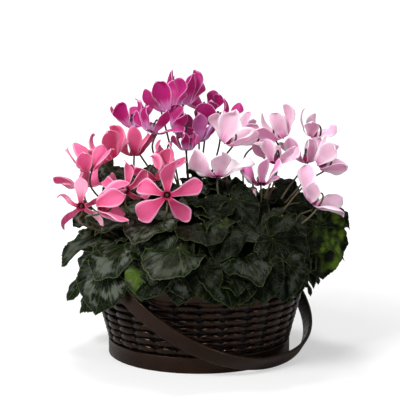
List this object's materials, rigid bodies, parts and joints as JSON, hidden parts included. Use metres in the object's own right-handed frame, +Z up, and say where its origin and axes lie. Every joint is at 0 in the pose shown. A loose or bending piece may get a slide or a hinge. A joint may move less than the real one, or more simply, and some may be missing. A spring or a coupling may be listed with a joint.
{
  "type": "potted cyclamen",
  "caption": "Three florist's cyclamens in rose, magenta and blush, growing together in a round dark willow basket with a swing handle.",
  "frame": {"origin": "the point on the table under the middle of the basket's round foot", "axes": "+Z up, the side that the picture shows towards -Y, +X to the right of that side"},
  "size_m": [0.3484, 0.3398, 0.3294],
  "materials": {
    "willow": "satin",
    "bentwood": "satin",
    "liner": "matte",
    "soil": "matte",
    "pin": "satin",
    "foliage": "satin",
    "petal_rose": "matte",
    "petal_magenta": "matte",
    "petal_blush": "matte"
  },
  "bodies": {
    "planter": {"basket_floor": "willow", "foot_band": "bentwood", "woven_wall": "willow", "rim_hoop_outer": "bentwood", "rim_hoop_inner": "bentwood", "liner": "liner", "soil": "soil", "pivot_pin_back": "pin", "pivot_pin_front": "pin", "plant_rose": "foliage", "plant_magenta": "foliage", "plant_blush": "foliage", "bloom_rose_01": "petal_rose", "bloom_rose_02": "petal_rose", "bloom_rose_03": "petal_rose", "bloom_rose_04": "petal_rose", "bloom_rose_05": "petal_rose", "bloom_rose_06": "petal_rose", "bloom_rose_07": "petal_rose", "bloom_rose_08": "petal_rose", "bloom_rose_09": "petal_rose", "bloom_rose_10": "petal_rose", "bloom_magenta_01": "petal_magenta", "bloom_magenta_02": "petal_magenta", "bloom_magenta_03": "petal_magenta", "bloom_magenta_04": "petal_magenta", "bloom_magenta_05": "petal_magenta", "bloom_magenta_06": "petal_magenta", "bloom_magenta_07": "petal_magenta", "bloom_magenta_08": "petal_magenta", "bloom_magenta_09": "petal_magenta", "bloom_blush_01": "petal_blush", "bloom_blush_02": "petal_blush", "bloom_blush_03": "petal_blush", "bloom_blush_04": "petal_blush", "bloom_blush_05": "petal_blush", "bloom_blush_06": "petal_blush", "bloom_blush_07": "petal_blush", "bloom_blush_08": "petal_blush", "bloom_blush_09": "petal_blush", "bloom_blush_10": "petal_blush"},
    "swing_handle": {"handle": "bentwood"}
  },
  "joints": [
    {"name": "handle_swing", "type": "hinge", "parent": "planter", "child": "swing_handle", "pos_m": [0, 0, 0.096], "axis": [-0.6587, -0.7524, 0], "range_deg": [0, 24]}
  ]
}
